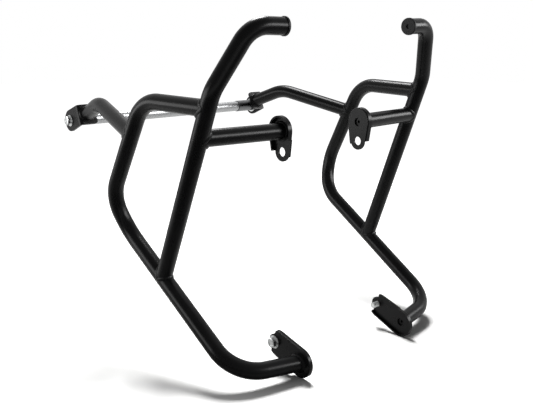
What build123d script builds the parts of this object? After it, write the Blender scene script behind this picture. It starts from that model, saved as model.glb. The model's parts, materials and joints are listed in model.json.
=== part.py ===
"""Motorcycle crash bars: two welded tube bars that a cross tube joins behind the engine.

Frame: origin at the middle of the rear cross tube, +X to the bike's left, +Y to its rear, +Z up.
Places along the bars are given as out (from the middle), front (of the cross tube) and up.
"""

import os
from dataclasses import dataclass
from math import cos, radians, sin, tan

from build123d import *

# Tube stock and its bends, measured on the centre line
TUBE_OD = 27.0
TUBE_WALL = 2.0
HOOP_BEND = 65.0
UPRIGHT_BEND = 42.0
KINK_BEND = 60.0
ARM_BEND = 80.0
WELD_GAP = 0.3

# How far the bars reach in front of the cross tube, at the tube ends in the lower brackets
FRONT_REACH = 532.0

# Upright tube: its foot on the hoop (not level on the two bars), the kink, the top corner and the tip
RIGHT_FOOT_FROM_HEEL = 211.0
LEFT_FOOT_FROM_HEEL = 188.5
KINK_OUT = 245.0
KINK_SET_BACK = 60.5
KINK_UP = 85.0
TOP_OUT = 202.0
TOP_SET_BACK = 22.5
TOP_UP = 179.0
TIP_REACH = 56.0
TIP_FRONT_STEP = 5.5
TIP_DROP = 1.5

# Hoop tube: top run, shoulder, two-step knee, heel and the run to the lower bracket
HOOP_JOINT_UP = 60.0
SHOULDER_OUT = 258.5
SHOULDER_FRONT = 307.0
SHOULDER_UP = 62.5
KNEE_OUT_ABOVE = 266.0
KNEE_OUT_BELOW = 246.5
KNEE_FRONT = 191.5
KNEE_UP = -145.0
KNEE_SETBACK = 43.0
KNEE_BEND_FILL = 0.98
HEEL_OUT = 238.5
HEEL_SET_BACK = 23.5
HEEL_UP = -341.5

# Rear arm: leaves the hoop's back run, rises to a corner and drops to the rear bracket
ARM_JOINT_UP = 5.0
ARM_CORNER_OUT = 225.0
ARM_CORNER_FRONT = 107.5
ARM_CORNER_UP = 41.0
ARM_END_OUT = 211.0
ARM_END_FRONT = 36.0
ARM_END_UP = 14.3

# Stub tube that carries the middle bracket
STUB_JOINT_UP = 13.3
STUB_SET_BACK = 79.5
STUB_END_UP = 12.3

# Pressed brackets: a flat web whose rim is turned along one side and round the arch over the tube
PRESS_PLATE = 3.0
PRESS_EDGE_RADIUS = 2.0
ARCH_MARGIN = 10.5
ARCH_SHIFT = 1.0
ARCH_RISE = 1.5
RIM_FADE = 12.0
TUBE_WINDOW = 15.0
MIDDLE_FACE_OUT = 89.0
MIDDLE_BOLT_DISTANCE = 33.8
MIDDLE_BOLT_ANGLE = -90.0
MIDDLE_BOLT_HOLE = 15.5
MIDDLE_TAB_LAND = 7.95
MIDDLE_END_MARGIN = 3.0
MIDDLE_END_BEFORE_BOLT = 0.0
MIDDLE_FLAT_PAST_BOLT = 6.7
MIDDLE_RIM_PAST_BOLT = -0.8
MIDDLE_RIM_DEPTH = 6.5
LOWER_FACE_OUT = 126.5
LOWER_TUBE_UP = -346.7
LOWER_BOLT_DISTANCE = 58.8
LOWER_BOLT_ANGLE = 18.7
LOWER_TAB_LAND = 2.1
LOWER_END_MARGIN = 8.5
LOWER_END_BEFORE_BOLT = 5.8
LOWER_FLAT_PAST_BOLT = 2.7
LOWER_RIM_PAST_BOLT = 4.2
LOWER_RIM_DEPTH = 5.0

# Rear brackets: a bent plate with a lobe round the through bolt and a pad for the arm
REAR_PLATE = 4.0
REAR_FACE_OUT = 229.5
REAR_LOBE_RADIUS = 20.5
REAR_BEND_INNER = 2.0
PAD_TILT = 20.5
PAD_MARGIN = 4.0
PAD_HEIGHT = 39.0
PAD_CORNER = 6.0

# Plugs: steel discs inside the inner tube ends and plastic caps in the upright tips
PLUG_FIT = 0.1
DISC_THICKNESS = 3.0
DISC_VENT = 5.5
CAP_OVERHANG = 1.2
CAP_HEAD = 4.0
CAP_ROUND = 1.5
CAP_SPIGOT = 14.0
CAP_SPIGOT_WALL = 2.0
CAP_DIMPLE = 8.0
CAP_DIMPLE_DEPTH = 2.5

# M10 fasteners
BOLT_SIZE = 10.0
BOLT_CLEARANCE = 0.5
THREAD_DIAMETER = 9.85
THREAD_FIT = 0.1
RELIEF_DIAMETER = 8.2
RELIEF_LENGTH = 2.5
RELIEF_PAST_GRIP = 0.5
FLANGE_DIAMETER = 21.8
FLANGE_EDGE = 1.6
FLANGE_HEIGHT = 3.4
HEX_ACROSS_FLATS = 15.0
HEX_HEIGHT = 8.6
HEX_CHAMFER = 0.8
SHANK_CHAMFER = 0.8
LOWER_BOLT_LENGTH = 16.0
THROUGH_BOLT_RUNOUT = 4.0
WASHER_DIAMETER = 30.0
WASHER_THICKNESS = 2.5

# Cross tube and its end sleeve, clamped between the rear brackets
CROSS_OD = 22.0
CROSS_BORE_FIT = 1.0
SLEEVE_OD = 24.5
SLEEVE_LENGTH = 43.0
CROSS_CHAMFER = 0.6

TUBE_RADIUS = TUBE_OD / 2
BORE_RADIUS = TUBE_RADIUS - TUBE_WALL
ARCH_RADIUS = TUBE_RADIUS + ARCH_MARGIN
COPE_RADIUS = TUBE_RADIUS + WELD_GAP
COPE_LENGTH = 3 * TUBE_OD
OVERRUN = TUBE_OD
HOLE_RADIUS = BOLT_SIZE / 2 + BOLT_CLEARANCE
REAR_INNER_OUT = REAR_FACE_OUT - REAR_PLATE
SIDES = {"left": 1, "right": -1}


def place(side: int, out: float, front: float, up: float) -> Vector:
    """Return a point on the bar of one side, +1 for the left and -1 for the right."""
    return Vector(side * out, -front, up)


def at_height(low: Vector, high: Vector, up: float) -> Vector:
    """Return the point at a height on the line through two points."""
    return low + (high - low) * ((up - low.Z) / (high.Z - low.Z))


def past(start: Vector, end: Vector, extra: float) -> Vector:
    """Return the point that lies past the end of a run, or before it for a negative extra."""
    return end + (end - start).normalized() * extra


class Bar:
    """The tube corners of one side, worked out from the driving dimensions."""

    def __init__(self, side: int) -> None:
        self.side = side
        self.outward = Vector(side, 0, 0)
        self.kink = place(side, KINK_OUT, FRONT_REACH - KINK_SET_BACK, KINK_UP)
        self.top = place(side, TOP_OUT, FRONT_REACH - TOP_SET_BACK, TOP_UP)
        self.tip = self.top + Vector(-side * TIP_REACH, -TIP_FRONT_STEP, -TIP_DROP)
        self.shoulder = place(side, SHOULDER_OUT, SHOULDER_FRONT, SHOULDER_UP)
        self.heel = place(side, HEEL_OUT, FRONT_REACH - HEEL_SET_BACK, HEEL_UP)
        knee_above = place(side, KNEE_OUT_ABOVE, KNEE_FRONT, KNEE_UP)
        knee_below = place(side, KNEE_OUT_BELOW, KNEE_FRONT, KNEE_UP)
        self.knee_in = past(self.shoulder, knee_above, -KNEE_SETBACK)
        self.knee_out = past(self.heel, knee_below, -KNEE_SETBACK)
        foot_from_heel = LEFT_FOOT_FROM_HEEL if side > 0 else RIGHT_FOOT_FROM_HEEL
        self.foot = past(knee_below, self.heel, -foot_from_heel)
        self.hoop_joint = at_height(self.foot, self.kink, HOOP_JOINT_UP)
        self.lower_end = place(side, LOWER_FACE_OUT, FRONT_REACH, LOWER_TUBE_UP)
        self.stub_joint = at_height(self.foot, self.kink, STUB_JOINT_UP)
        self.stub_end = place(side, MIDDLE_FACE_OUT, FRONT_REACH - STUB_SET_BACK, STUB_END_UP)
        self.arm_joint = at_height(self.knee_in, self.shoulder, ARM_JOINT_UP)
        self.arm_corner = place(side, ARM_CORNER_OUT, ARM_CORNER_FRONT, ARM_CORNER_UP)
        self.arm_end = place(side, ARM_END_OUT, ARM_END_FRONT, ARM_END_UP)

    def knee_radius(self) -> float:
        """Return the radius at which the knee's two bends nearly run into each other."""
        step = self.knee_out - self.knee_in
        first = (self.knee_in - self.shoulder).get_angle(step)
        second = step.get_angle(self.heel - self.knee_out)
        setbacks = tan(radians(first / 2)) + tan(radians(second / 2))
        return KNEE_BEND_FILL * step.length / setbacks

    def pad_plane(self) -> Plane:
        """Return the plane of the rear bracket's pad: origin at the arm's end, normal to the rear."""
        tilt = radians(PAD_TILT)
        return Plane(self.arm_end, x_dir=self.outward, z_dir=(0, cos(tilt), -sin(tilt)))

    def outer_face(self, face_out: float, thickness: float) -> Plane:
        """Return the outward-facing plane of a flat bracket."""
        return Plane((self.side * (face_out + thickness), 0, 0), z_dir=self.outward)


def bent_tube(corners: list, bends: list, copes: list = (), cuts: list = ()) -> Part:
    """Return a tube along filleted corners, coped round other runs and cut flat at planes."""
    with BuildPart() as tube:
        with BuildLine() as path:
            if bends:
                FilletPolyline(*corners, radius=bends)
            else:
                Line(*corners)
        with BuildSketch(Plane(path.line @ 0, z_dir=path.line % 0)):
            Circle(TUBE_RADIUS)
            Circle(BORE_RADIUS, mode=Mode.SUBTRACT)
        sweep()
        for seat, direction in copes:
            with Locations(Plane(seat, z_dir=direction)):
                Cylinder(COPE_RADIUS, COPE_LENGTH, mode=Mode.SUBTRACT)
        for cut in cuts:
            split(bisect_by=cut, keep=Keep.TOP)
    return tube.part


def hoop_tube(bar: Bar) -> Part:
    """Return the main hoop, from the upright round to the lower bracket."""
    corners = [bar.hoop_joint, bar.shoulder, bar.knee_in, bar.knee_out, bar.heel,
               past(bar.heel, bar.lower_end, OVERRUN)]
    bends = [HOOP_BEND, bar.knee_radius(), bar.knee_radius(), HOOP_BEND]
    cope = (bar.hoop_joint, bar.kink - bar.foot)
    return bent_tube(corners, bends, [cope], [bar.outer_face(LOWER_FACE_OUT, PRESS_PLATE)])


def upright_tube(bar: Bar) -> Part:
    """Return the upright, from its foot on the hoop to the tip under the end cap."""
    corners = [bar.foot, bar.kink, bar.top, bar.tip]
    cope = (bar.foot, bar.heel - bar.knee_out)
    return bent_tube(corners, [KINK_BEND, UPRIGHT_BEND], [cope])


def stub_tube(bar: Bar) -> Part:
    """Return the short tube from the upright in to the middle bracket."""
    corners = [bar.stub_joint, past(bar.stub_joint, bar.stub_end, OVERRUN)]
    cope = (bar.stub_joint, bar.kink - bar.foot)
    return bent_tube(corners, [], [cope], [bar.outer_face(MIDDLE_FACE_OUT, PRESS_PLATE)])


def rear_arm(bar: Bar) -> Part:
    """Return the arm from the hoop's back run to the rear bracket's pad."""
    corners = [bar.arm_joint, bar.arm_corner, past(bar.arm_corner, bar.arm_end, OVERRUN)]
    cope = (bar.arm_joint, bar.shoulder - bar.knee_in)
    pad = bar.pad_plane()
    return bent_tube(corners, [ARM_BEND], [cope], [Plane(pad.origin, z_dir=-pad.z_dir)])


@dataclass
class Press:
    """The sizes in which the two pressed brackets differ, along the line from the tube to the bolt."""

    bolt_angle: float
    bolt_distance: float
    bolt_hole: float
    tab_radius: float
    end_margin: float
    end_before_bolt: float
    flat_past_bolt: float
    rim_past_bolt: float
    rim_depth: float
    rim_turn: int

    def inner_plane(self, bar: Bar, tube_end: Vector) -> Plane:
        """Return the web's inner plane: origin on the tube, x towards the bolt, z outward."""
        angle = radians(self.bolt_angle)
        return Plane(tube_end, x_dir=(0, cos(angle), sin(angle)), z_dir=bar.outward)

    def outline(self, inset: float) -> Sketch:
        """Return the outline round the arch and the bolt end, drawn in by an inset."""
        with BuildSketch() as outline:
            with Locations((-ARCH_RISE, -ARCH_SHIFT)):
                Circle(ARCH_RADIUS - inset)
            with Locations((self.bolt_distance - self.end_before_bolt, 0)):
                Circle(self.tab_radius + self.end_margin - inset)
            make_hull()
        return outline.sketch


MIDDLE_PRESS = Press(
    MIDDLE_BOLT_ANGLE, MIDDLE_BOLT_DISTANCE, MIDDLE_BOLT_HOLE, MIDDLE_BOLT_HOLE / 2 + MIDDLE_TAB_LAND,
    MIDDLE_END_MARGIN, MIDDLE_END_BEFORE_BOLT, MIDDLE_FLAT_PAST_BOLT, MIDDLE_RIM_PAST_BOLT,
    MIDDLE_RIM_DEPTH, rim_turn=1)
LOWER_PRESS = Press(
    LOWER_BOLT_ANGLE, LOWER_BOLT_DISTANCE, 2 * HOLE_RADIUS, FLANGE_DIAMETER / 2 + LOWER_TAB_LAND,
    LOWER_END_MARGIN, LOWER_END_BEFORE_BOLT, LOWER_FLAT_PAST_BOLT, LOWER_RIM_PAST_BOLT,
    LOWER_RIM_DEPTH, rim_turn=-1)


def pressed_bracket(bar: Bar, tube_end: Vector, press: Press) -> Part:
    """Return a pressed bracket: the same part serves both sides, turned over."""
    inner = press.inner_plane(bar, tube_end)
    back = inner if press.rim_turn > 0 else inner.offset(PRESS_PLATE)
    outside = press.outline(0)
    inside = press.outline(PRESS_PLATE)
    outside_wire = back.from_local_coords(outside.wire())
    rim_end = press.bolt_distance + press.rim_past_bolt
    flat_end = press.bolt_distance + press.flat_past_bolt
    reach = press.bolt_distance + 2 * ARCH_RADIUS
    with BuildPart() as bracket:
        with BuildSketch(back):
            add(outside)
            add(inside, mode=Mode.SUBTRACT)
            with Locations((RIM_FADE, 0)):
                Rectangle(reach, reach, align=Align.MIN, mode=Mode.SUBTRACT)
            with Locations((rim_end, 0)):
                Rectangle(reach, reach, align=(Align.MIN, Align.MAX), mode=Mode.SUBTRACT)
        extrude(amount=press.rim_turn * (PRESS_PLATE + press.rim_depth))
        near = PRESS_PLATE / 4
        bend_edges = bracket.edges().filter_by(lambda edge: outside_wire.distance_to(edge @ 0.5) < near)
        fillet(bend_edges, PRESS_EDGE_RADIUS)
        with BuildSketch(back):
            add(outside)
            Rectangle(2 * reach, reach, align=(Align.CENTER, Align.MAX), mode=Mode.SUBTRACT)
            with Locations((RIM_FADE, 0)):
                Rectangle(reach, reach, align=(Align.MAX, Align.MIN), mode=Mode.SUBTRACT)
            add(inside)
            with Locations((flat_end, 0)):
                Rectangle(reach, reach, align=Align.MIN, mode=Mode.SUBTRACT)
            with Locations((rim_end, 0)):
                Rectangle(reach, reach, align=(Align.MIN, Align.MAX), mode=Mode.SUBTRACT)
            with Locations((press.bolt_distance, 0)):
                Circle(press.tab_radius)
        extrude(amount=press.rim_turn * PRESS_PLATE)
        with Locations(inner):
            Cylinder(TUBE_WINDOW / 2, 4 * PRESS_PLATE, mode=Mode.SUBTRACT)
            with Locations((press.bolt_distance, 0)):
                Cylinder(press.bolt_hole / 2, 4 * PRESS_PLATE, mode=Mode.SUBTRACT)
    return bracket.part


def rear_bracket(bar: Bar) -> Part:
    """Return the bent plate between the arm and the through bolt."""
    pad = bar.pad_plane()
    flank = Plane((bar.side * REAR_FACE_OUT, 0, 0), x_dir=(0, 1, 0), z_dir=-bar.outward)
    bend_middle = pad.origin + bar.outward * (REAR_FACE_OUT - ARM_END_OUT)
    bend_half = pad.y_dir * (PAD_HEIGHT / 2)
    bend_ends = [flank.to_local_coords(bend_middle + bend_half * way) for way in (-1, 1)]
    pad_width = REAR_FACE_OUT - ARM_END_OUT + TUBE_RADIUS + PAD_MARGIN
    flank_reach = 2 * REAR_LOBE_RADIUS - bend_middle.Y
    section = Plane(bend_middle, x_dir=-bar.outward, z_dir=pad.z_dir.cross(bar.outward))
    with BuildPart() as bracket:
        with BuildSketch(section) as angle:
            Rectangle(pad_width, REAR_PLATE, align=Align.MIN)
            Rectangle(REAR_PLATE, flank_reach, align=Align.MIN)
            corners = angle.vertices().sort_by_distance((0, 0, 0))
            fillet(corners[0], REAR_BEND_INNER + REAR_PLATE)
            fillet(corners[1], REAR_BEND_INNER)
        extrude(amount=PAD_HEIGHT, both=True)
        with BuildSketch(flank):
            Circle(REAR_LOBE_RADIUS)
            with BuildLine():
                Line(*bend_ends)
            make_hull()
        extrude(amount=pad_width, mode=Mode.INTERSECT)
        inner_edges = bracket.faces().sort_by(Axis((0, 0, 0), bar.outward))[0].edges()
        fillet(inner_edges.sort_by(SortBy.LENGTH)[:2], PAD_CORNER)
        with Locations(flank):
            Cylinder(HOLE_RADIUS, 4 * REAR_PLATE, mode=Mode.SUBTRACT)
    return bracket.part


def end_disc(bar: Bar, before: Vector, tube_end: Vector, face_out: float) -> Part:
    """Return the vented steel disc that closes a tube behind its bracket."""
    plate_out = face_out + PRESS_PLATE
    slab = Plane((bar.side * plate_out, tube_end.Y, tube_end.Z), z_dir=bar.outward)
    with BuildPart() as disc:
        with Locations(Plane(tube_end, z_dir=tube_end - before)):
            Cylinder(BORE_RADIUS - PLUG_FIT, COPE_LENGTH)
        split(bisect_by=slab, keep=Keep.TOP)
        split(bisect_by=slab.offset(DISC_THICKNESS), keep=Keep.BOTTOM)
        with Locations(slab):
            Cylinder(DISC_VENT / 2, 4 * DISC_THICKNESS, mode=Mode.SUBTRACT)
    return disc.part


def end_cap(bar: Bar) -> Part:
    """Return the plastic cap in the upright's tip."""
    seat = Plane(bar.tip, z_dir=bar.tip - bar.top)
    with BuildPart() as cap:
        with BuildSketch(seat):
            Circle(TUBE_RADIUS + CAP_OVERHANG)
        extrude(amount=CAP_HEAD)
        fillet(cap.edges().sort_by_distance(bar.tip)[-1], CAP_ROUND)
        with BuildSketch(seat):
            Circle(BORE_RADIUS - PLUG_FIT)
            Circle(BORE_RADIUS - PLUG_FIT - CAP_SPIGOT_WALL, mode=Mode.SUBTRACT)
        extrude(amount=-CAP_SPIGOT)
        with Locations(seat.offset(CAP_HEAD - CAP_DIMPLE_DEPTH)):
            Cylinder(CAP_DIMPLE / 2, CAP_HEAD, align=(Align.CENTER, Align.CENTER, Align.MIN),
                     mode=Mode.SUBTRACT)
    return cap.part


def flange_head(seat: Plane) -> Part:
    """Return a hex head with a flange that stands on the seat."""
    with BuildPart() as head:
        with BuildSketch(seat):
            RegularPolygon(HEX_ACROSS_FLATS / 2, 6, major_radius=False)
        extrude(amount=HEX_HEIGHT)
        chamfer(head.faces().sort_by(Axis(seat.origin, seat.z_dir))[-1].edges(), HEX_CHAMFER)
        with BuildSketch(seat):
            Circle(FLANGE_DIAMETER / 2)
        extrude(amount=FLANGE_EDGE)
        with Locations(seat.offset(FLANGE_EDGE)):
            Cone(FLANGE_DIAMETER / 2, HEX_ACROSS_FLATS / 2, FLANGE_HEIGHT - FLANGE_EDGE,
                 align=(Align.CENTER, Align.CENTER, Align.MIN))
    return head.part


def flange_bolt(seat: Plane, grip: float, length: float) -> Part:
    """Return a flange bolt: head on the seat, plain shank for the grip behind it, relief, then thread."""
    thread_start = grip + RELIEF_PAST_GRIP
    with BuildPart() as bolt:
        add(flange_head(seat))
        with BuildSketch(seat):
            Circle(BOLT_SIZE / 2)
        extrude(amount=RELIEF_LENGTH - thread_start)
        with BuildSketch(seat):
            Circle(RELIEF_DIAMETER / 2)
        extrude(amount=-thread_start)
        with BuildSketch(seat.offset(-thread_start)):
            Circle(THREAD_DIAMETER / 2)
        extrude(amount=thread_start - length)
        chamfer(bolt.faces().sort_by(Axis(seat.origin, seat.z_dir))[0].edges(), SHANK_CHAMFER)
    return bolt.part


def flange_nut(seat: Plane) -> Part:
    """Return a flange nut that stands on the seat."""
    with BuildPart() as nut:
        add(flange_head(seat))
        with Locations(seat):
            Cylinder(THREAD_DIAMETER / 2 + THREAD_FIT, 4 * HEX_HEIGHT, mode=Mode.SUBTRACT)
    return nut.part


def ring(start: float, length: float, outer: float, bore: float, edge: float) -> Part:
    """Return a tube along X from a start place, with chamfered outer edges."""
    with BuildPart() as tube:
        with BuildSketch(Plane.YZ.offset(start)):
            Circle(outer / 2)
            Circle(bore / 2, mode=Mode.SUBTRACT)
        extrude(amount=length)
        outer_edges = tube.edges().filter_by(GeomType.CIRCLE).sort_by(SortBy.RADIUS)[-2:]
        chamfer(outer_edges, edge)
    return tube.part


def side_pieces(bar: Bar) -> dict:
    """Return every piece of one bar by its plain name."""
    inner = LOWER_PRESS.inner_plane(bar, bar.lower_end)
    bolt_place = inner.origin + inner.x_dir * LOWER_BOLT_DISTANCE
    bolt_seat = Plane(bolt_place + bar.outward * PRESS_PLATE, z_dir=bar.outward)
    return {
        "hoop_tube": hoop_tube(bar),
        "upright_tube": upright_tube(bar),
        "stub_tube": stub_tube(bar),
        "rear_arm": rear_arm(bar),
        "middle_bracket": pressed_bracket(bar, bar.stub_end, MIDDLE_PRESS),
        "lower_bracket": pressed_bracket(bar, bar.lower_end, LOWER_PRESS),
        "rear_bracket": rear_bracket(bar),
        "end_cap": end_cap(bar),
        "stub_end_disc": end_disc(bar, bar.stub_joint, bar.stub_end, MIDDLE_FACE_OUT),
        "hoop_end_disc": end_disc(bar, bar.heel, bar.lower_end, LOWER_FACE_OUT),
        "lower_bolt": flange_bolt(bolt_seat, PRESS_PLATE, LOWER_BOLT_LENGTH),
    }


def cross_pieces() -> dict:
    """Return the pieces that join the two bars at the rear, by their plain names."""
    bore = BOLT_SIZE + 2 * CROSS_BORE_FIT
    washer_hole = 2 * HOLE_RADIUS
    sleeve_start = REAR_INNER_OUT - WASHER_THICKNESS - SLEEVE_LENGTH
    nut_start = REAR_FACE_OUT + WASHER_THICKNESS
    bolt_seat = Plane((-REAR_FACE_OUT, 0, 0), z_dir=(-1, 0, 0))
    nut_seat = Plane((nut_start, 0, 0), z_dir=(1, 0, 0))
    bolt_grip = REAR_FACE_OUT + nut_start
    bolt_length = bolt_grip + HEX_HEIGHT + THROUGH_BOLT_RUNOUT
    return {
        "cross_tube": ring(-REAR_INNER_OUT, REAR_INNER_OUT + sleeve_start, CROSS_OD, bore, CROSS_CHAMFER),
        "cross_sleeve": ring(sleeve_start, SLEEVE_LENGTH, SLEEVE_OD, bore, CROSS_CHAMFER),
        "sleeve_washer": ring(REAR_INNER_OUT - WASHER_THICKNESS, WASHER_THICKNESS, WASHER_DIAMETER,
                              washer_hole, CROSS_CHAMFER),
        "nut_washer": ring(REAR_FACE_OUT, WASHER_THICKNESS, WASHER_DIAMETER, washer_hole, CROSS_CHAMFER),
        "through_bolt": flange_bolt(bolt_seat, bolt_grip, bolt_length),
        "through_nut": flange_nut(nut_seat),
    }


def main() -> None:
    """Build every piece and write one file for each."""
    os.makedirs("parts", exist_ok=True)
    pieces = cross_pieces()
    for side_name, side in SIDES.items():
        for name, piece in side_pieces(Bar(side)).items():
            pieces[f"{side_name}_{name}"] = piece
    for name, piece in pieces.items():
        piece.label = name
        export_step(piece, f"parts/{name}.step")


if __name__ == "__main__":
    main()
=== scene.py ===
"""Dressed model of a pair of motorcycle crash bars, in the studio.

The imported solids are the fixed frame, in metres: origin in the middle of the rear cross tube, +X to the
bike's left, +Y to its rear, +Z up. This script gives each solid its finish, adds the weld beads and the
threaded fasteners as meshes of their own, and sets up the floor, the light and the camera.
"""

import json
import logging
import math
import random
from dataclasses import dataclass
from enum import Enum
from typing import Any, Callable, Optional, Sequence, Union

import bpy
from mathutils import Matrix, Vector

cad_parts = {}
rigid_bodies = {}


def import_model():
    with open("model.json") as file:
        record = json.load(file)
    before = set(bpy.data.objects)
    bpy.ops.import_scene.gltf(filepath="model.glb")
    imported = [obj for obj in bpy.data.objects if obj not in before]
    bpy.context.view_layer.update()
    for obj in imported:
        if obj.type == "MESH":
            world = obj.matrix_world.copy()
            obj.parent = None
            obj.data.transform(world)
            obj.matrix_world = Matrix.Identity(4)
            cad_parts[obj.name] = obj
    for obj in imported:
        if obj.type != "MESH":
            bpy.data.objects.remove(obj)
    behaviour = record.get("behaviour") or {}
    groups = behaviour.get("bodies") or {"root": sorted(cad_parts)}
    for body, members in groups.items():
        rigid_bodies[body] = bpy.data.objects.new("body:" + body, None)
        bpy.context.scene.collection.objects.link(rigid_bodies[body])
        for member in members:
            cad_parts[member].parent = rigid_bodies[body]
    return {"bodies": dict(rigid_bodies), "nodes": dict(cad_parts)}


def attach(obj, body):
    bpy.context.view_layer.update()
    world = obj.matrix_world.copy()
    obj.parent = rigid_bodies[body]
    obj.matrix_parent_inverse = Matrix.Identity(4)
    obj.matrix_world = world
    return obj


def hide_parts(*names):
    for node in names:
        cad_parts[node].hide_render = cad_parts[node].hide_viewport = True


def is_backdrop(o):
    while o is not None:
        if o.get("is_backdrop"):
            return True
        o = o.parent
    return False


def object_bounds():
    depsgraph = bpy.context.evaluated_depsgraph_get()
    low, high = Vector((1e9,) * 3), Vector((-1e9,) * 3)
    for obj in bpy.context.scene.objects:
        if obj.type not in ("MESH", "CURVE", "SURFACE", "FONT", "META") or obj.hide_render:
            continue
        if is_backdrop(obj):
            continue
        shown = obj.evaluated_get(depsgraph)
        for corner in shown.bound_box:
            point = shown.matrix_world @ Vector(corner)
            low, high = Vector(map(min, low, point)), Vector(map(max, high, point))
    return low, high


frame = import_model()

MM = 0.001
LOG = logging.getLogger("crash_bars")
Ring = list[Vector]
BLACK = "#000000"
WHITE = "#FFFFFF"

# Where most values of a noise texture lie
NOISE_LOW = 0.3
NOISE_HIGH = 0.7

# Sockets of the mix node by number, since its colours and its plain values share their names
COLOUR_A = 6
COLOUR_B = 7
COLOUR_OUT = 2
VALUE_A = 2
VALUE_B = 3
VALUE_OUT = 0

# A flat lamp lights flat paper by two cosines and the inverse square of the distance
FLAT_LAMP_FALL = -4.0


class Side(Enum):
    """The two bars, by the bike's own sides."""

    LEFT = 1
    RIGHT = -1


class Land(Enum):
    """What a tube end is welded to."""

    TUBE = "tube"
    PLATE = "plate"


class Reach(Enum):
    """What a lamp lights, by the black flags round it."""

    ALL = "all"
    PAPER = "paper"
    BARS = "bars"


def to_linear(colour: str) -> tuple[float, float, float, float]:
    """Turn an sRGB hex colour into linear values.

    Args:
        colour: the colour as "#RRGGBB".

    Returns:
        Linear red, green and blue, and an alpha of 1.
    """
    parts = [int(colour[i:i + 2], 16) / 255 for i in (1, 3, 5)]
    red, green, blue = (p / 12.92 if p <= 0.04045 else ((p + 0.055) / 1.055) ** 2.4 for p in parts)
    return red, green, blue, 1.0


def add_node(tree: bpy.types.NodeTree, kind: str, settings: Optional[dict[Any, Any]] = None,
             links: Optional[dict[Any, bpy.types.NodeSocket]] = None) -> bpy.types.Node:
    """Add a node with its settings and links.

    Args:
        tree: the node tree that takes the node.
        kind: the node's type name.
        settings: values by property name, or by the name or number of an input.
        links: sockets to link in, by the name or number of an input.

    Returns:
        The new node.
    """
    node = tree.nodes.new(kind)
    for key, value in (settings or {}).items():
        if isinstance(key, str) and hasattr(node, key):
            setattr(node, key, value)
        else:
            node.inputs[key].default_value = value
    for key, socket in (links or {}).items():
        tree.links.new(socket, node.inputs[key])
    return node


def per_metre(size_mm: float) -> float:
    """Return how many pattern cells of a size in millimetres fit in a metre."""
    return 1 / (size_mm * MM)


def start_material(name: str) -> tuple[bpy.types.Material, bpy.types.NodeTree]:
    """Make an empty node material.

    Args:
        name: the material's name.

    Returns:
        The material and its cleared node tree.
    """
    material = bpy.data.materials.new(name)
    material.use_nodes = True
    material.node_tree.nodes.clear()
    return material, material.node_tree


@dataclass(frozen=True)
class PowderCoat:
    """Polyester powder coat, sprayed on steel and baked.

    The eye gets a deep satin black with soft, wide highlights. The baked film is slightly wavy, like the
    peel of an orange, and its gloss clouds a little over the length of a tube.
    """

    slot: str = "powder_coat"
    name: str = "powder_coat_satin_black_baked"
    deep: str = "#080808"
    light: str = "#0D0D0E"
    gloss_low: float = 0.25
    gloss_high: float = 0.31
    ior: float = 1.5
    reflectance: float = 0.13
    peel_mm: float = 3.0
    peel_depth_mm: float = 0.008
    grit_mm: float = 0.7
    grit_depth_mm: float = 0.0015
    cloud_mm: float = 45.0

    def build(self) -> bpy.types.Material:
        """Return the material."""
        material, tree = start_material(self.name)
        place = add_node(tree, "ShaderNodeTexCoord").outputs["Object"]
        cloud = add_node(tree, "ShaderNodeTexNoise", {"Scale": per_metre(self.cloud_mm), "Detail": 3.0},
                         {"Vector": place})
        colour = add_node(tree, "ShaderNodeMix",
                          {"data_type": "RGBA", COLOUR_A: to_linear(self.deep),
                           COLOUR_B: to_linear(self.light)},
                          {0: cloud.outputs["Fac"]})
        gloss = add_node(tree, "ShaderNodeMapRange",
                         {"From Min": NOISE_LOW, "From Max": NOISE_HIGH,
                          "To Min": self.gloss_low, "To Max": self.gloss_high},
                         {"Value": cloud.outputs["Fac"]})
        # The real peel and grit are finer; these cells are as coarse as the picture needs to show them
        peel = add_node(tree, "ShaderNodeTexNoise", {"Scale": per_metre(self.peel_mm), "Detail": 2.0},
                        {"Vector": place})
        grit = add_node(tree, "ShaderNodeTexVoronoi", {"Scale": per_metre(self.grit_mm)},
                        {"Vector": place})
        waves = add_node(tree, "ShaderNodeBump", {"Distance": self.peel_depth_mm * MM},
                         {"Height": peel.outputs["Fac"]})
        relief = add_node(tree, "ShaderNodeBump", {"Distance": self.grit_depth_mm * MM},
                          {"Height": grit.outputs["Distance"], "Normal": waves.outputs["Normal"]})
        coat = add_node(tree, "ShaderNodeBsdfPrincipled",
                        {"IOR": self.ior, "Specular IOR Level": self.reflectance},
                        {"Base Color": colour.outputs[COLOUR_OUT], "Roughness": gloss.outputs["Result"],
                         "Normal": relief.outputs["Normal"]})
        add_node(tree, "ShaderNodeOutputMaterial", links={"Surface": coat.outputs["BSDF"]})
        return material


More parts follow.
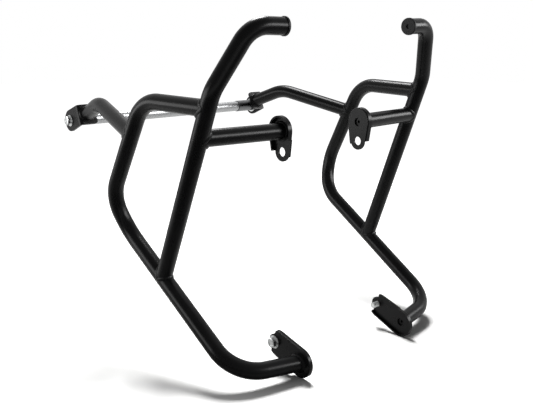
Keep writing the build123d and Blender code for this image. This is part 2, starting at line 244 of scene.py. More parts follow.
@dataclass(frozen=True)
class ZincPlate:
    """Bright zinc, plated on steel fasteners and passivated.

    The eye gets a cool silver with a faint cloudy bloom and small matt specks where the plate is thin.
    """

    slot: str = "zinc_plate"
    name: str = "zinc_plated_steel_passivated"
    bright: str = "#D3D5D6"
    bloom: str = "#B4B6B4"
    gloss_low: float = 0.20
    gloss_high: float = 0.40
    bloom_mm: float = 5.0
    speck_mm: float = 0.9
    speck_depth_mm: float = 0.02

    def build(self) -> bpy.types.Material:
        """Return the material."""
        material, tree = start_material(self.name)
        place = add_node(tree, "ShaderNodeTexCoord").outputs["Object"]
        bloom = add_node(tree, "ShaderNodeTexNoise", {"Scale": per_metre(self.bloom_mm), "Detail": 5.0},
                         {"Vector": place})
        colour = add_node(tree, "ShaderNodeMix",
                          {"data_type": "RGBA", COLOUR_A: to_linear(self.bright),
                           COLOUR_B: to_linear(self.bloom)},
                          {0: bloom.outputs["Fac"]})
        gloss = add_node(tree, "ShaderNodeMapRange",
                         {"From Min": NOISE_LOW, "From Max": NOISE_HIGH,
                          "To Min": self.gloss_low, "To Max": self.gloss_high},
                         {"Value": bloom.outputs["Fac"]})
        specks = add_node(tree, "ShaderNodeTexNoise", {"Scale": per_metre(self.speck_mm), "Detail": 4.0},
                          {"Vector": place})
        relief = add_node(tree, "ShaderNodeBump", {"Distance": self.speck_depth_mm * MM},
                          {"Height": specks.outputs["Fac"]})
        plate = add_node(tree, "ShaderNodeBsdfPrincipled", {"Metallic": 1.0},
                         {"Base Color": colour.outputs[COLOUR_OUT], "Roughness": gloss.outputs["Result"],
                          "Normal": relief.outputs["Normal"]})
        add_node(tree, "ShaderNodeOutputMaterial", links={"Surface": plate.outputs["BSDF"]})
        return material


@dataclass(frozen=True)
class DrawnSteel:
    """Bare steel tube, cold drawn through a die along X.

    The eye gets a clean grey silver with long fine draw lines and streaks of duller metal between them.
    The lines are finer on the real tube; these are as wide as the picture needs to show them.
    """

    slot: str = "bare_steel"
    name: str = "steel_tube_cold_drawn_bare"
    bright: str = "#A6A7A8"
    dull: str = "#98999A"
    gloss_low: float = 0.34
    gloss_high: float = 0.40
    line_mm: float = 2.4
    line_length_mm: float = 1500.0
    line_depth_mm: float = 0.00015

    def build(self) -> bpy.types.Material:
        """Return the material."""
        material, tree = start_material(self.name)
        place = add_node(tree, "ShaderNodeTexCoord").outputs["Object"]
        across = per_metre(self.line_mm)
        drawn = add_node(tree, "ShaderNodeMapping",
                         {"Scale": (per_metre(self.line_length_mm), across, across)}, {"Vector": place})
        lines = add_node(tree, "ShaderNodeTexNoise", {"Scale": 1.0, "Detail": 4.0},
                         {"Vector": drawn.outputs["Vector"]})
        colour = add_node(tree, "ShaderNodeMix",
                          {"data_type": "RGBA", COLOUR_A: to_linear(self.bright),
                           COLOUR_B: to_linear(self.dull)},
                          {0: lines.outputs["Fac"]})
        gloss = add_node(tree, "ShaderNodeMapRange",
                         {"From Min": NOISE_LOW, "From Max": NOISE_HIGH,
                          "To Min": self.gloss_low, "To Max": self.gloss_high},
                         {"Value": lines.outputs["Fac"]})
        relief = add_node(tree, "ShaderNodeBump", {"Distance": self.line_depth_mm * MM},
                          {"Height": lines.outputs["Fac"]})
        steel = add_node(tree, "ShaderNodeBsdfPrincipled", {"Metallic": 1.0},
                         {"Base Color": colour.outputs[COLOUR_OUT], "Roughness": gloss.outputs["Result"],
                          "Normal": relief.outputs["Normal"]})
        add_node(tree, "ShaderNodeOutputMaterial", links={"Surface": steel.outputs["BSDF"]})
        return material


# The sleeve is given a darker, duller grey than the cross tube
DARKER_SLEEVE = DrawnSteel("sleeve_steel", "steel_sleeve_cold_drawn_darker", bright="#737475",
                           dull="#606162", gloss_low=0.28, gloss_high=0.36)


@dataclass(frozen=True)
class MouldedCap:
    """Polyethylene, injection moulded in a spark-eroded tool.

    The eye gets a dull black, a little greyer than the coat, with a fine pebbled grain.
    """

    slot: str = "cap_plastic"
    name: str = "polyethylene_moulded_black"
    deep: str = "#0A0A0B"
    light: str = "#101011"
    roughness: float = 0.5
    ior: float = 1.51
    reflectance: float = 0.2
    grain_mm: float = 0.8
    grain_depth_mm: float = 0.03
    cloud_mm: float = 12.0

    def build(self) -> bpy.types.Material:
        """Return the material."""
        material, tree = start_material(self.name)
        place = add_node(tree, "ShaderNodeTexCoord").outputs["Object"]
        cloud = add_node(tree, "ShaderNodeTexNoise", {"Scale": per_metre(self.cloud_mm), "Detail": 3.0},
                         {"Vector": place})
        colour = add_node(tree, "ShaderNodeMix",
                          {"data_type": "RGBA", COLOUR_A: to_linear(self.deep),
                           COLOUR_B: to_linear(self.light)},
                          {0: cloud.outputs["Fac"]})
        grain = add_node(tree, "ShaderNodeTexVoronoi", {"Scale": per_metre(self.grain_mm)},
                         {"Vector": place})
        relief = add_node(tree, "ShaderNodeBump", {"Distance": self.grain_depth_mm * MM},
                          {"Height": grain.outputs["Distance"]})
        plastic = add_node(tree, "ShaderNodeBsdfPrincipled",
                           {"IOR": self.ior, "Specular IOR Level": self.reflectance,
                            "Roughness": self.roughness},
                           {"Base Color": colour.outputs[COLOUR_OUT], "Normal": relief.outputs["Normal"]})
        add_node(tree, "ShaderNodeOutputMaterial", links={"Surface": plastic.outputs["BSDF"]})
        return material


Finish = Union[PowderCoat, ZincPlate, DrawnSteel, MouldedCap]


class Finishes:
    """The finishes of the bars, each built once and found by its slot."""

    def __init__(self, finishes: Sequence[Finish]) -> None:
        """Build every finish.

        Args:
            finishes: the finishes, each with its slot.
        """
        self.by_slot = {finish.slot: finish.build() for finish in finishes}

    def dress_solid(self, node: str, other: Optional[str] = None) -> None:
        """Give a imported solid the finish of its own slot, or another one.

        Args:
            node: the solid's name.
            other: the other finish's slot, if the solid's own isn't to be used.
        """
        materials = frame["nodes"][node].data.materials
        for place, old in enumerate(materials):
            materials[place] = self.by_slot[other or old.name.split(".")[0]]
        LOG.info("dressed %s", node)

    def dress_piece(self, piece: bpy.types.Object, slot: str) -> None:
        """Give a new piece its finish, and let it ride with the bars.

        Args:
            piece: the new mesh object.
            slot: the slot that its finish comes from.
        """
        piece.data.materials.append(self.by_slot[slot])
        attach(piece, "root")
        LOG.info("built %s", piece.name)


def skin(name: str, rings: Sequence[Ring], closed: bool, crease_deg: float) -> bpy.types.Object:
    """Make a mesh over rings of equal length.

    Args:
        name: the piece's name.
        rings: the rings in order, each a closed loop of points.
        closed: whether the last ring joins the first; otherwise both end rings are capped.
        crease_deg: edges that turn by more than this stay sharp.

    Returns:
        The mesh object, linked to the scene.
    """
    count = len(rings[0])
    points = [point for ring in rings for point in ring]
    faces = []
    for row in range(len(rings) if closed else len(rings) - 1):
        here, there = row * count, (row + 1) % len(rings) * count
        for i in range(count):
            j = (i + 1) % count
            faces.append((here + i, here + j, there + j, there + i))
    if not closed:
        faces.append(tuple(reversed(range(count))))
        faces.append(tuple(range(len(points) - count, len(points))))
    mesh = bpy.data.meshes.new(name)
    mesh.from_pydata(points, [], faces)
    mesh.update()
    mesh.shade_smooth()
    mesh.set_sharp_from_angle(angle=math.radians(crease_deg))
    piece = bpy.data.objects.new(name, mesh)
    bpy.context.scene.collection.objects.link(piece)
    return piece


def past(start: Vector, end: Vector, extra: float) -> Vector:
    """Return the point past the end of a run, or before it for a negative extra."""
    return end + (end - start).normalized() * extra


def at_height(low: Vector, high: Vector, up: float) -> Vector:
    """Return the point at a height on the line through two points."""
    return low + (high - low) * ((up - low.z) / (high.z - low.z))


@dataclass
class Seam:
    """A joint to be welded: the end of a tube that meets another tube or a plate.

    The tube's line starts at `start` and leaves along `away`. The land is a tube round the line through
    `seat` along `axis`, or a plate through `seat` whose face looks along `axis`.
    """

    name: str
    start: Vector
    away: Vector
    land: Land
    seat: Vector
    axis: Vector

    def end_on(self, radius: float, radial: Vector) -> Vector:
        """Find where one line along the tube's skin meets the land.

        Args:
            radius: the outside radius of both tubes.
            radial: the direction from the tube's line to that line on its skin.

        Returns:
            The meeting point, or the nearest one where the line passes the land by.
        """
        base = self.start + radial * radius
        if self.land is Land.PLATE:
            return base + self.away * ((self.seat - base).dot(self.axis) / self.away.dot(self.axis))
        flat_away = self.away - self.axis * self.away.dot(self.axis)
        offset = base - self.seat
        flat_offset = offset - self.axis * offset.dot(self.axis)
        nearest = -flat_offset.dot(flat_away) / flat_away.length_squared
        miss = flat_offset + flat_away * nearest
        room = max(0.0, radius ** 2 - miss.length_squared)
        return base + self.away * (nearest + math.sqrt(room) / flat_away.length)

    def land_normal(self, point: Vector) -> Vector:
        """Return the direction in which the land's face looks at a point."""
        if self.land is Land.PLATE:
            return self.axis.copy()
        offset = point - self.seat
        return (offset - self.axis * offset.dot(self.axis)).normalized()

    def on_land(self, point: Vector, radius: float) -> Vector:
        """Return the point of the land's face that lies under a point."""
        if self.land is Land.PLATE:
            return point - self.axis * (point - self.seat).dot(self.axis)
        centre = self.seat + self.axis * (point - self.seat).dot(self.axis)
        return centre + self.land_normal(point) * radius


@dataclass(frozen=True)
class WeldBead:
    """A bead of filler laid round a tube end by hand, with the torch moved on in small steps."""

    leg: float = 3.4 * MM
    crown: float = 0.9 * MM
    cover: float = 0.5 * MM
    ripple_pitch: float = 2.4 * MM
    ripple_height: float = 0.22 * MM
    ripple_bow: float = 1.1 * MM
    wander: float = 0.3 * MM
    sink: float = 0.15 * MM
    root_depth: float = 0.9 * MM
    ripple_least: float = 0.7
    ripple_most: float = 1.25
    sway_waves: int = 3
    crease_deg: float = 75.0
    steps_per_ripple: int = 8
    face_points: int = 7
    walk_points: int = 1440

    def walk(self, seam: Seam, radius: float) -> tuple[list[Vector], list[Vector]]:
        """Follow the seam once round the tube in equal steps.

        Args:
            seam: the joint.
            radius: the tube's outside radius.

        Returns:
            The points of the seam, and the tube's radial direction at each.
        """
        first = seam.away.orthogonal().normalized()
        second = seam.away.cross(first)
        dense, radials = [], []
        for i in range(self.walk_points + 1):
            turn = math.tau * i / self.walk_points
            radial = first * math.cos(turn) + second * math.sin(turn)
            radials.append(radial)
            dense.append(seam.end_on(radius, radial))
        lengths = [0.0]
        for before, after in zip(dense, dense[1:]):
            lengths.append(lengths[-1] + (after - before).length)
        ripples = round(lengths[-1] / self.ripple_pitch)
        steps = ripples * self.steps_per_ripple
        points, directions = [], []
        i = 0
        for step in range(steps):
            target = lengths[-1] * step / steps
            while lengths[i + 1] <= target:
                i += 1
            share = (target - lengths[i]) / (lengths[i + 1] - lengths[i])
            points.append(dense[i].lerp(dense[i + 1], share))
            directions.append(radials[i].lerp(radials[i + 1], share).normalized())
        return points, directions

    def section(self, seam: Seam, radius: float, point: Vector, radial: Vector, along: Vector,
                leg: float, lift: Callable[[float], float]) -> Ring:
        """Draw the bead's section at one point of the seam.

        Args:
            seam: the joint.
            radius: the tube's outside radius.
            point: the point of the seam.
            radial: the tube's radial direction there.
            along: the seam's own direction there.
            leg: how far the bead reaches up the tube and out over the land.
            lift: the ripple's height by the share of the way from tube to land.

        Returns:
            The closed section: the face from tube to land, then two points under it.
        """
        foot = seam.on_land(point, radius)
        normal = seam.land_normal(point)
        up = along.cross(radial)
        up = up if up.dot(seam.away) > 0 else -up
        out = along.cross(normal)
        out = out if out.dot(radial - seam.away) > 0 else -out
        high = point + up.normalized() * leg - radial * self.sink
        low = foot + out.normalized() * leg - normal * self.sink
        lean = (radial + normal).normalized()
        middle = (high + low) / 2
        bulge = max(self.crown, 2 * ((point - middle).dot(lean) + self.cover))
        control = middle + lean * bulge
        ring = []
        for i in range(self.face_points):
            share = i / (self.face_points - 1)
            rest = 1 - share
            place = high * rest ** 2 + control * (2 * share * rest) + low * share ** 2
            ring.append(place + lean * lift(share))
        ring.append(low - normal * self.root_depth)
        ring.append(high - radial * self.root_depth)
        return ring

    def build(self, seam: Seam, radius: float, seed: int) -> bpy.types.Object:
        """Make the bead of one seam.

        Args:
            seam: the joint.
            radius: the tube's outside radius.
            seed: sets how the welder's hand wanders on this seam.

        Returns:
            The bead as a closed mesh object.
        """
        hand = random.Random(seed)
        points, radials = self.walk(seam, radius)
        steps = len(points)
        ripples = steps // self.steps_per_ripple
        heights = [self.ripple_height * hand.uniform(self.ripple_least, self.ripple_most)
                   for _ in range(ripples)]
        phases = [hand.uniform(0, math.tau) for _ in range(self.sway_waves)]
        rings = []
        for step in range(steps):
            along = (points[(step + 1) % steps] - points[step - 1]).normalized()
            turn = math.tau * step / steps
            sway = sum(math.sin(k * turn + phase) / k for k, phase in enumerate(phases, start=2))

            def lift(share: float, step: int = step) -> float:
                """Return the ripple's height at a share of the way over the bead."""
                arch = 4 * share * (1 - share)
                place = step / self.steps_per_ripple - arch * self.ripple_bow / self.ripple_pitch
                height = heights[math.floor(place) % ripples]
                swell = 2 * (place - math.floor(place)) - 1
                return height * (1 - swell ** 2) * arch

            leg = self.leg + self.wander * sway
            rings.append(self.section(seam, radius, points[step], radials[step], along, leg, lift))
        return skin(seam.name, rings, closed=True, crease_deg=self.crease_deg)


@dataclass
class BarLine:
    """The tube line of one bar in millimetres, as out (from the middle), front and up."""

    side: Side
    tube_radius: float = 13.5
    right_foot_from_heel: float = 211.0
    left_foot_from_heel: float = 188.5
    kink: tuple[float, float, float] = (245.0, 471.5, 85.0)
    shoulder: tuple[float, float, float] = (258.5, 307.0, 62.5)
    knee_above: tuple[float, float, float] = (266.0, 191.5, -145.0)
    knee_below: tuple[float, float, float] = (246.5, 191.5, -145.0)
    heel: tuple[float, float, float] = (238.5, 508.5, -341.5)
    lower_end: tuple[float, float, float] = (126.5, 532.0, -346.7)
    stub_end: tuple[float, float, float] = (89.0, 452.5, 12.3)
    arm_corner: tuple[float, float, float] = (225.0, 107.5, 41.0)
    arm_end: tuple[float, float, float] = (211.0, 36.0, 14.3)
    hoop_joint_up: float = 60.0
    stub_joint_up: float = 13.3
    arm_joint_up: float = 5.0
    press_plate: float = 3.0
    pad_tilt_deg: float = 20.5

    def at(self, place: tuple[float, float, float]) -> Vector:
        """Return a place of this bar as a point of the frame, in metres."""
        out, front, up = place
        return Vector((self.side.value * out, -front, up)) * MM

    def seams(self) -> list[Seam]:
        """List the welded joints of this bar.

        Returns:
            The seven seams, from the upright's foot round to the rear bracket.
        """
        name = self.side.name.lower()
        outward = Vector((self.side.value, 0, 0))
        kink, shoulder, heel = self.at(self.kink), self.at(self.shoulder), self.at(self.heel)
        from_heel = self.left_foot_from_heel if self.side is Side.LEFT else self.right_foot_from_heel
        foot = past(self.at(self.knee_below), heel, -from_heel * MM)
        upright = (kink - foot).normalized()
        hoop_low = (heel - self.at(self.knee_below)).normalized()
        hoop_back = (shoulder - self.at(self.knee_above)).normalized()
        hoop_joint = at_height(foot, kink, self.hoop_joint_up * MM)
        stub_joint = at_height(foot, kink, self.stub_joint_up * MM)
        arm_joint = at_height(self.at(self.knee_above), shoulder, self.arm_joint_up * MM)
        lower_end, stub_end = self.at(self.lower_end), self.at(self.stub_end)
        arm_corner, arm_end = self.at(self.arm_corner), self.at(self.arm_end)
        plate = outward * self.press_plate * MM
        tilt = math.radians(self.pad_tilt_deg)
        pad_face = Vector((0, -math.cos(tilt), math.sin(tilt)))
        stub_away = (stub_end - stub_joint).normalized()
        lower_away = (heel - lower_end).normalized()
        arm_back = (arm_corner - arm_end).normalized()
        return [
            Seam(f"{name}_foot_weld", foot, upright, Land.TUBE, foot, hoop_low),
            Seam(f"{name}_hoop_weld", hoop_joint, (shoulder - hoop_joint).normalized(), Land.TUBE,
                 hoop_joint, upright),
            Seam(f"{name}_stub_weld", stub_joint, stub_away, Land.TUBE, stub_joint, upright),
            Seam(f"{name}_arm_weld", arm_joint, (arm_corner - arm_joint).normalized(), Land.TUBE,
                 arm_joint, hoop_back),
            Seam(f"{name}_middle_bracket_weld", stub_end, -stub_away, Land.PLATE, stub_end + plate,
                 outward),
            Seam(f"{name}_lower_bracket_weld", lower_end, lower_away, Land.PLATE, lower_end + plate,
                 outward),
            Seam(f"{name}_rear_bracket_weld", arm_end, arm_back, Land.PLATE, arm_end, pad_face),
        ]


@dataclass(frozen=True)
class FlangeHead:
    """The sizes of an M10 hex head or nut with a flange, standing on its seat."""

    flange_radius: float = 10.9 * MM
    flange_edge: float = 1.6 * MM
    flange_height: float = 3.4 * MM
    edge_round: float = 0.35 * MM
    hex_inner: float = 7.5 * MM
    height: float = 8.6 * MM
    chamfer_radius: float = 7.15 * MM
    chamfer_deg: float = 30.0
    fillet: float = 0.35 * MM
    crease_deg: float = 32.0
    facets: int = 96

    def turns(self) -> list[float]:
        """Return the angles of the points round a ring."""
        return [math.tau * i / self.facets for i in range(self.facets)]

    def hex_radius(self, turn: float) -> float:
        """Return the hexagon's radius at an angle."""
        sixth = math.pi / 3
        return self.hex_inner / math.cos((turn + sixth / 2) % sixth - sixth / 2)

    def cone_height(self, radius: float) -> float:
        """Return the height of the flange's sloping top at a radius."""
        slope = (self.flange_height - self.flange_edge) / (self.flange_radius - self.hex_inner)
        return self.flange_height - (radius - self.hex_inner) * slope

    def circle(self, radius: float, height: float) -> Ring:
        """Return a round ring about the axis."""
        return [Vector((radius * math.cos(t), radius * math.sin(t), height)) for t in self.turns()]

    def outside(self) -> list[Ring]:
        """Draw the outside of the head.

        Returns:
            Rings from the rim of the top face down over the hexagon and the flange to the seat.
        """
        fall = math.tan(math.radians(self.chamfer_deg))
        top, bottom, root = [], [], []
        for turn in self.turns():
            ray = Vector((math.cos(turn), math.sin(turn), 0))
            radius = self.hex_radius(turn)
            drop = max(0.0, radius - self.chamfer_radius) * fall
            top.append(ray * radius + Vector((0, 0, self.height - drop)))
            bottom.append(ray * radius + Vector((0, 0, self.cone_height(radius) + self.fillet)))
            wide = radius + self.fillet
            root.append(ray * wide + Vector((0, 0, self.cone_height(wide))))
        inner = self.flange_radius - self.edge_round
        return [
            self.circle(self.chamfer_radius, self.height), top, bottom, root,
            self.circle(inner, self.cone_height(inner)),
            self.circle(self.flange_radius, self.flange_edge - self.edge_round),
            self.circle(self.flange_radius, self.edge_round),
            self.circle(inner, 0.0),
        ]


@dataclass(frozen=True)
class Thread:
    """A rolled M10 thread."""

    pitch: float = 1.5 * MM
    crest_radius: float = 4.925 * MM
    root_radius: float = 4.15 * MM
    crest_share: float = 0.18
    point_radius: float = 4.1 * MM
    point_length: float = 0.8 * MM
    rows_per_pitch: int = 10

    def rings(self, head: FlangeHead, start: float, end: float) -> list[Ring]:
        """Draw the thread downwards along the axis.

        Args:
            head: gives the angles of the points round a ring.
            start: the height at which the thread starts.
            end: the lower height at which the bolt ends.

        Returns:
            The rings from the start to the chamfered end.
        """
        rows = math.ceil((start - end) / self.pitch * self.rows_per_pitch)
        depth = self.crest_radius - self.root_radius
        rings = []
        for row in range(rows + 1):
            height = start + (end - start) * row / rows
            near_end = (height - end) / self.point_length
            limit = self.point_radius + (self.crest_radius - self.point_radius) * min(1.0, near_end)
            ring = []
            for turn in head.turns():
                wave = abs((height / self.pitch - turn / math.tau) % 1 * 2 - 1)
                flank = min(1.0, wave / (1 - self.crest_share))
                radius = min(limit, self.root_radius + depth * flank)
                ring.append(Vector((radius * math.cos(turn), radius * math.sin(turn), height)))
            rings.append(ring)
        return rings


@dataclass
class FlangeBolt:
    """An M10 flange bolt with a dished head, a plain shank, a relief neck and a rolled thread."""

    name: str
    seat: Vector
    outward: Vector
    grip: float
    length: float
    head: FlangeHead = FlangeHead()
    thread: Thread = Thread()
    shank_radius: float = 5.0 * MM
    relief_radius: float = 4.1 * MM
    relief_length: float = 2.5 * MM
    relief_past_grip: float = 0.5 * MM
    dish_radius: float = 5.2 * MM
    dish_slope: float = 0.9 * MM
    dish_depth: float = 0.6 * MM

    def build(self, finishes: Finishes) -> bpy.types.Object:
        """Make the bolt in place of its solid.

        Args:
            finishes: gives the zinc plate.

        Returns:
            The bolt as one closed mesh object.
        """
        head = self.head
        rings = [head.circle(self.dish_radius - self.dish_slope, head.height - self.dish_depth),
                 head.circle(self.dish_radius, head.height)]
        rings += head.outside()
        relief_end = -self.grip - self.relief_past_grip
        relief_start = relief_end + self.relief_length
        rings += [head.circle(self.shank_radius, 0.0), head.circle(self.shank_radius, relief_start),
                  head.circle(self.relief_radius, relief_start),
                  head.circle(self.relief_radius, relief_end)]
        rings += self.thread.rings(head, relief_end, -self.length)
        piece = skin(self.name, rings, closed=False, crease_deg=head.crease_deg)
        stand(piece, self.seat, self.outward)
        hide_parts(self.name.removesuffix("_threaded"))
        finishes.dress_piece(piece, "zinc_plate")
        return piece


@dataclass
class FlangeNut:
    """An M10 flange nut, chamfered at both ends of its bore."""

    name: str
    seat: Vector
    outward: Vector
    head: FlangeHead = FlangeHead()
    bore_radius: float = 5.0 * MM
    countersink: float = 0.5 * MM

    def build(self, finishes: Finishes) -> bpy.types.Object:
        """Make the nut in place of its solid.

        Args:
            finishes: gives the zinc plate.

        Returns:
            The nut as one closed mesh object.
        """
        head = self.head
        wide = self.bore_radius + self.countersink
        rings = [head.circle(self.bore_radius, self.countersink),
                 head.circle(self.bore_radius, head.height - self.countersink),
                 head.circle(wide, head.height)]
        rings += head.outside()
        rings.append(head.circle(wide, 0.0))
        piece = skin(self.name, rings, closed=True, crease_deg=head.crease_deg)
        stand(piece, self.seat, self.outward)
        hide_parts(self.name.removesuffix("_threaded"))
        finishes.dress_piece(piece, "zinc_plate")
        return piece


def stand(piece: bpy.types.Object, seat: Vector, outward: Vector) -> None:
    """Stand a piece on a seat by moving its points.

    Args:
        piece: a mesh object drawn about its own Z axis.
        seat: where its origin goes.
        outward: where its Z axis looks.
    """
    turn = outward.to_track_quat("Z", "Y").to_matrix().to_4x4()
    piece.data.transform(Matrix.Translation(seat) @ turn)
    piece.data.update()


@dataclass
class CrashBar:
    """One welded bar: its tubes, brackets, cap, weld beads and lower bolt."""

    line: BarLine
    finishes: Finishes
    bead: WeldBead = WeldBead()
    lower_bolt_distance: float = 58.8
    lower_bolt_angle_deg: float = 18.7
    lower_bolt_length: float = 16.0 * MM

    def dress(self) -> None:
        """Give every solid of this bar its finish."""
        prefix = self.line.side.name.lower() + "_"
        for node in sorted(frame["nodes"]):
            if node.startswith(prefix):
                self.finishes.dress_solid(node)

    def weld(self) -> None:
        """Lay the bead of every seam."""
        for number, seam in enumerate(self.line.seams()):
            piece = self.bead.build(seam, self.line.tube_radius * MM, seed=number)
            self.finishes.dress_piece(piece, "powder_coat")

    def bolt(self) -> None:
        """Put in the lower flange bolt."""
        line = self.line
        angle = math.radians(self.lower_bolt_angle_deg)
        out, front, up = line.lower_end
        seat = line.at((out + line.press_plate, front - self.lower_bolt_distance * math.cos(angle),
                        up + self.lower_bolt_distance * math.sin(angle)))
        name = f"{line.side.name.lower()}_lower_bolt_threaded"
        outward = Vector((line.side.value, 0, 0))
        bolt = FlangeBolt(name, seat, outward, line.press_plate * MM, self.lower_bolt_length)
        bolt.build(self.finishes)


@dataclass
class CrossRod:
    """The cross tube with its sleeve and washers, clamped by the through bolt and its nut."""

    finishes: Finishes
    solids: tuple[str, ...] = ("cross_tube", "sleeve_washer", "nut_washer")
    bracket_face: float = 229.5 * MM
    washer: float = 2.5 * MM
    runout: float = 4.0 * MM

    def dress(self) -> None:
        """Give every solid of the rod its finish."""
        for node in self.solids:
            self.finishes.dress_solid(node)
        self.finishes.dress_solid("cross_sleeve", DARKER_SLEEVE.slot)

    def bolt(self) -> None:
        """Put in the through bolt and run its nut on."""
        grip = 2 * self.bracket_face + self.washer
        length = grip + FlangeHead().height + self.runout
        right = Vector((-1, 0, 0))
        bolt = FlangeBolt("through_bolt_threaded", right * self.bracket_face, right, grip, length)
        bolt.build(self.finishes)
        seat = -right * (self.bracket_face + self.washer)
        FlangeNut("through_nut_threaded", seat, -right).build(self.finishes)


@dataclass(frozen=True)
class Softbox:
    """A flat studio lamp with a diffuser."""

    name: str
    place: tuple[float, float, float]
    aim: tuple[float, float, float]
    width: float
    height: float
    watts: float
    reach: Reach = Reach.ALL

    def build(self, floor: bpy.types.Object) -> bpy.types.Object:
        """Put up the lamp and turn it to its aim.

        Args:
            floor: the paper that the lamp may be flagged off, or kept to.

        Returns:
            The lamp.
        """
        lamp = bpy.data.lights.new(self.name, "AREA")
        lamp.shape = "RECTANGLE"
        lamp.size = self.width
        lamp.size_y = self.height
        lamp.energy = self.watts
        box = bpy.data.objects.new(self.name, lamp)
        bpy.context.scene.collection.objects.link(box)
        box.location = self.place
        box.rotation_euler = (Vector(self.aim) - box.location).to_track_quat("-Z", "Y").to_euler()
        box.visible_camera = False
        if self.reach is not Reach.ALL:
            flagged = bpy.data.collections.new(self.name)
            flagged.objects.link(floor)
            state = "INCLUDE" if self.reach is Reach.PAPER else "EXCLUDE"
            flagged.collection_objects[0].light_linking.link_state = state
            box.light_linking.receiver_collection = flagged
        LOG.info("lit %s", self.name)
        return box


@dataclass(frozen=True)
class Camera:
    """The picture's camera, solved from the bars' own lines."""

    place: tuple[float, float, float] = (-0.8994, -1.3373, 0.1744)
    azimuth_deg: float = 42.2
    down_deg: float = 10.85
    focal_px: float = 753.1
    centre_px: tuple[float, float] = (279.4, 172.6)
    frame_px: tuple[int, int] = (533, 416)
    sensor_mm: float = 36.0

    def build(self) -> bpy.types.Object:
        """Return the camera, set as the scene's own."""
        width, height = self.frame_px
        data = bpy.data.cameras.new("camera")
        data.sensor_fit = "HORIZONTAL"
        data.sensor_width = self.sensor_mm
        data.lens = self.focal_px / width * self.sensor_mm
        data.shift_x = (width / 2 - self.centre_px[0]) / width
        data.shift_y = (self.centre_px[1] - height / 2) / width
        camera = bpy.data.objects.new("camera", data)
        bpy.context.scene.collection.objects.link(camera)
        camera.location = self.place
        camera.rotation_euler = (math.radians(90 - self.down_deg), 0, math.radians(-self.azimuth_deg))
        bpy.context.scene.camera = camera
        return camera


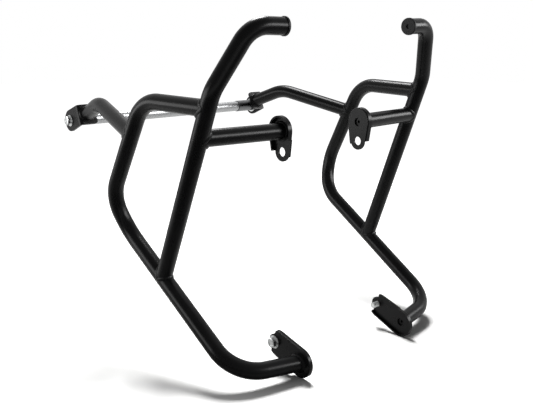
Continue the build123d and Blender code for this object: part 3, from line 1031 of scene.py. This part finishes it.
@dataclass(frozen=True)
class Studio:
    """A white paper sweep under an overhead softbox, in a room that is dark on the camera's side."""

    key: Softbox = Softbox("overhead_softbox", (0.36, 0.24, 1.0), (0.0, -0.35, 0.0), 0.35, 0.5, 13.5,
                           Reach.BARS)
    paper_lamp: Softbox = Softbox("paper_softbox", (0.33, 0.04, 1.0), (-0.05, -0.45, -0.37),
                                  0.55, 0.55, 47.0, Reach.PAPER)
    side: Softbox = Softbox("side_softbox", (1.435, -1.989, 0.63), (0.0, -0.45, 0.1), 2.2, 0.75, 72.0,
                            Reach.BARS)
    back: Softbox = Softbox("back_softbox", (-1.72, 0.72, 0.1), (0.0, -0.3, 0.0), 1.7, 0.8, 20.0,
                            Reach.BARS)
    middle: tuple[float, float, float] = (0.0, -0.27, -0.1)
    floor_size: float = 12.0
    floor_drop: float = 0.0005
    paper: str = "#F6F6F5"
    paper_fibre_mm: float = 0.8
    paper_relief_mm: float = 0.02
    paper_white: float = 1.6
    paper_albedo: float = 0.92
    floor_dim: tuple[float, float] = (-0.6, 0.0)
    floor_gloss: tuple[float, float] = (0.03, 0.6)
    front_dim: tuple[float, float] = (-2.0, -1.1)
    front_gloss: tuple[float, float] = (0.9, 0.0)
    room_dim: tuple[float, float] = (-0.3, 0.5)
    room_gloss: tuple[float, float] = (0.3, 0.8)
    room_fill: float = 0.12

    def toward(self, tree: bpy.types.NodeTree, vector: bpy.types.NodeSocket, camera: Camera,
               limits: tuple[float, float], levels: tuple[float, float]) -> bpy.types.NodeSocket:
        """Measure how bright the room is for gloss, from the camera's side to the far side.

        Args:
            tree: the node tree of the floor or the world.
            vector: a direction, or a place from the middle of the bars.
            camera: its azimuth tells which side of the room is dim.
            limits: how far away from the camera the dim part ends and the white part starts.
            levels: the brightness of the dim part and of the white part.

        Returns:
            A socket that rises from the first level to the second.
        """
        turn = math.radians(camera.azimuth_deg)
        ahead = Vector((math.sin(turn), math.cos(turn), 0))
        facing = add_node(tree, "ShaderNodeVectorMath", {"operation": "DOT_PRODUCT", 1: ahead},
                          {0: vector})
        rise = add_node(tree, "ShaderNodeMapRange",
                        {"interpolation_type": "SMOOTHSTEP", "From Min": limits[0], "From Max": limits[1],
                         "To Min": levels[0], "To Max": levels[1]}, {"Value": facing.outputs["Value"]})
        return rise.outputs["Result"]

    def seen_white(self, tree: bpy.types.NodeTree, gloss: bpy.types.NodeSocket,
                   fill: float) -> bpy.types.NodeSocket:
        """Choose the white that each ray sees.

        Args:
            tree: the node tree of the floor or the world.
            gloss: what glossy and transmission rays see.
            fill: what all other rays see, apart from the camera's, which see 1.

        Returns:
            The chosen strength.
        """
        path = add_node(tree, "ShaderNodeLightPath")
        mirror = add_node(tree, "ShaderNodeMath", {"operation": "MAXIMUM"},
                          {0: path.outputs["Is Glossy Ray"], 1: path.outputs["Is Transmission Ray"]})
        indirect = add_node(tree, "ShaderNodeMix", {"data_type": "FLOAT", VALUE_A: fill},
                            {0: mirror.outputs[0], VALUE_B: gloss})
        shown = add_node(tree, "ShaderNodeMix", {"data_type": "FLOAT", VALUE_B: 1.0},
                         {0: path.outputs["Is Camera Ray"], VALUE_A: indirect.outputs[VALUE_OUT]})
        return shown.outputs[VALUE_OUT]

    def paper_material(self, camera: Camera) -> bpy.types.Material:
        """Make the paper of the sweep: white, with a glow where the softbox leaves it dim.

        Args:
            camera: tells which side of the floor is dim for gloss.

        Returns:
            The material.
        """
        material, tree = start_material("paper_sweep_uncoated_white")
        position = add_node(tree, "ShaderNodeNewGeometry").outputs["Position"]
        lamp = Vector(self.paper_lamp.place)
        aim = (Vector(self.paper_lamp.aim) - lamp).normalized()
        ray = add_node(tree, "ShaderNodeVectorMath", {"operation": "SUBTRACT", 1: lamp}, {0: position})
        far = add_node(tree, "ShaderNodeVectorMath", {"operation": "LENGTH"}, {0: ray.outputs[0]})
        facing = add_node(tree, "ShaderNodeVectorMath", {"operation": "DOT_PRODUCT", 1: aim},
                          {0: ray.outputs[0]})
        fall = add_node(tree, "ShaderNodeMath", {"operation": "POWER", 1: FLAT_LAMP_FALL},
                        {0: far.outputs["Value"]})
        lit = add_node(tree, "ShaderNodeMath", {"operation": "MULTIPLY"},
                       {0: fall.outputs[0], 1: facing.outputs["Value"]})
        drop = lamp.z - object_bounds()[0].z
        share = self.paper_albedo * self.paper_lamp.watts / math.pi ** 2 * drop
        glow = add_node(tree, "ShaderNodeMath",
                        {"operation": "MULTIPLY_ADD", 1: -share, 2: self.paper_white, "use_clamp": True},
                        {0: lit.outputs[0]})
        place = add_node(tree, "ShaderNodeVectorMath", {"operation": "SUBTRACT", 1: self.middle},
                         {0: position})
        near = self.toward(tree, place.outputs[0], camera, self.floor_dim, self.floor_gloss)
        front = self.toward(tree, place.outputs[0], camera, self.front_dim, self.front_gloss)
        gloss = add_node(tree, "ShaderNodeMath", {"operation": "ADD"}, {0: near, 1: front}).outputs[0]
        seen = add_node(tree, "ShaderNodeMath", {"operation": "MULTIPLY"},
                        {0: glow.outputs[0], 1: self.seen_white(tree, gloss, 0.0)})
        fibre = add_node(tree, "ShaderNodeTexNoise",
                         {"Scale": per_metre(self.paper_fibre_mm), "Detail": 2.0}, {"Vector": position})
        relief = add_node(tree, "ShaderNodeBump", {"Distance": self.paper_relief_mm * MM},
                          {"Height": fibre.outputs["Fac"]})
        colour = add_node(tree, "ShaderNodeMix",
                          {"data_type": "RGBA", COLOUR_A: to_linear(BLACK),
                           COLOUR_B: to_linear(self.paper)},
                          {0: self.seen_white(tree, gloss, 1.0)})
        sheet = add_node(tree, "ShaderNodeBsdfDiffuse",
                         links={"Color": colour.outputs[COLOUR_OUT], "Normal": relief.outputs["Normal"]})
        light = add_node(tree, "ShaderNodeEmission", {"Color": to_linear(WHITE)},
                         {"Strength": seen.outputs[0]})
        both = add_node(tree, "ShaderNodeAddShader",
                        links={0: sheet.outputs["BSDF"], 1: light.outputs[0]})
        add_node(tree, "ShaderNodeOutputMaterial", links={"Surface": both.outputs[0]})
        return material

    def lay_floor(self, camera: Camera) -> bpy.types.Object:
        """Lay the paper just under the lowest point of the bars.

        Args:
            camera: tells which side of the floor is dim for gloss.

        Returns:
            The floor, marked as stage.
        """
        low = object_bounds()[0].z - self.floor_drop
        half = self.floor_size / 2
        corners = [(-half, -half, low), (half, -half, low), (half, half, low), (-half, half, low)]
        mesh = bpy.data.meshes.new("paper_sweep")
        mesh.from_pydata(corners, [], [(0, 1, 2, 3)])
        mesh.materials.append(self.paper_material(camera))
        floor = bpy.data.objects.new("paper_sweep", mesh)
        bpy.context.scene.collection.objects.link(floor)
        floor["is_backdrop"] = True
        LOG.info("laid the floor at %.4f", low)
        return floor

    def light_room(self, camera: Camera) -> None:
        """Light the room: white for the camera and behind the bars, dim on the camera's side for gloss.

        Args:
            camera: its azimuth tells which side of the room is dim.
        """
        world = bpy.data.worlds.new("room")
        world.use_nodes = True
        tree = world.node_tree
        tree.nodes.clear()
        look = add_node(tree, "ShaderNodeTexCoord").outputs["Generated"]
        gloss = self.toward(tree, look, camera, self.room_dim, self.room_gloss)
        room = add_node(tree, "ShaderNodeBackground", {"Color": to_linear(WHITE)},
                        {"Strength": self.seen_white(tree, gloss, self.room_fill)})
        add_node(tree, "ShaderNodeOutputWorld", links={"Surface": room.outputs[0]})
        bpy.context.scene.world = world

    def build(self, camera: Camera) -> None:
        """Set up the floor, the lamps, the room and the camera.

        Args:
            camera: the picture's camera.
        """
        floor = self.lay_floor(camera)
        for lamp in (self.key, self.paper_lamp, self.side, self.back):
            lamp.build(floor)
        self.light_room(camera)
        camera.build()
        bpy.context.scene.view_settings.view_transform = "Standard"


def clear_startup() -> None:
    """Remove the objects of the start-up file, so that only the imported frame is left."""
    kept = set(frame["nodes"].values()) | set(frame["bodies"].values())
    for thing in list(bpy.data.objects):
        if thing not in kept:
            bpy.data.objects.remove(thing)


def main() -> None:
    """Dress the bars, add their welds and fasteners, and set up the studio."""
    logging.basicConfig(level=logging.INFO, format="%(name)s: %(message)s")
    clear_startup()
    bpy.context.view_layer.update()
    finishes = Finishes([PowderCoat(), ZincPlate(), DrawnSteel(), DARKER_SLEEVE, MouldedCap()])
    for side in Side:
        bar = CrashBar(BarLine(side), finishes)
        bar.dress()
        bar.weld()
        bar.bolt()
    rod = CrossRod(finishes)
    rod.dress()
    rod.bolt()
    Studio().build(Camera())


if __name__ == "__main__":
    main()
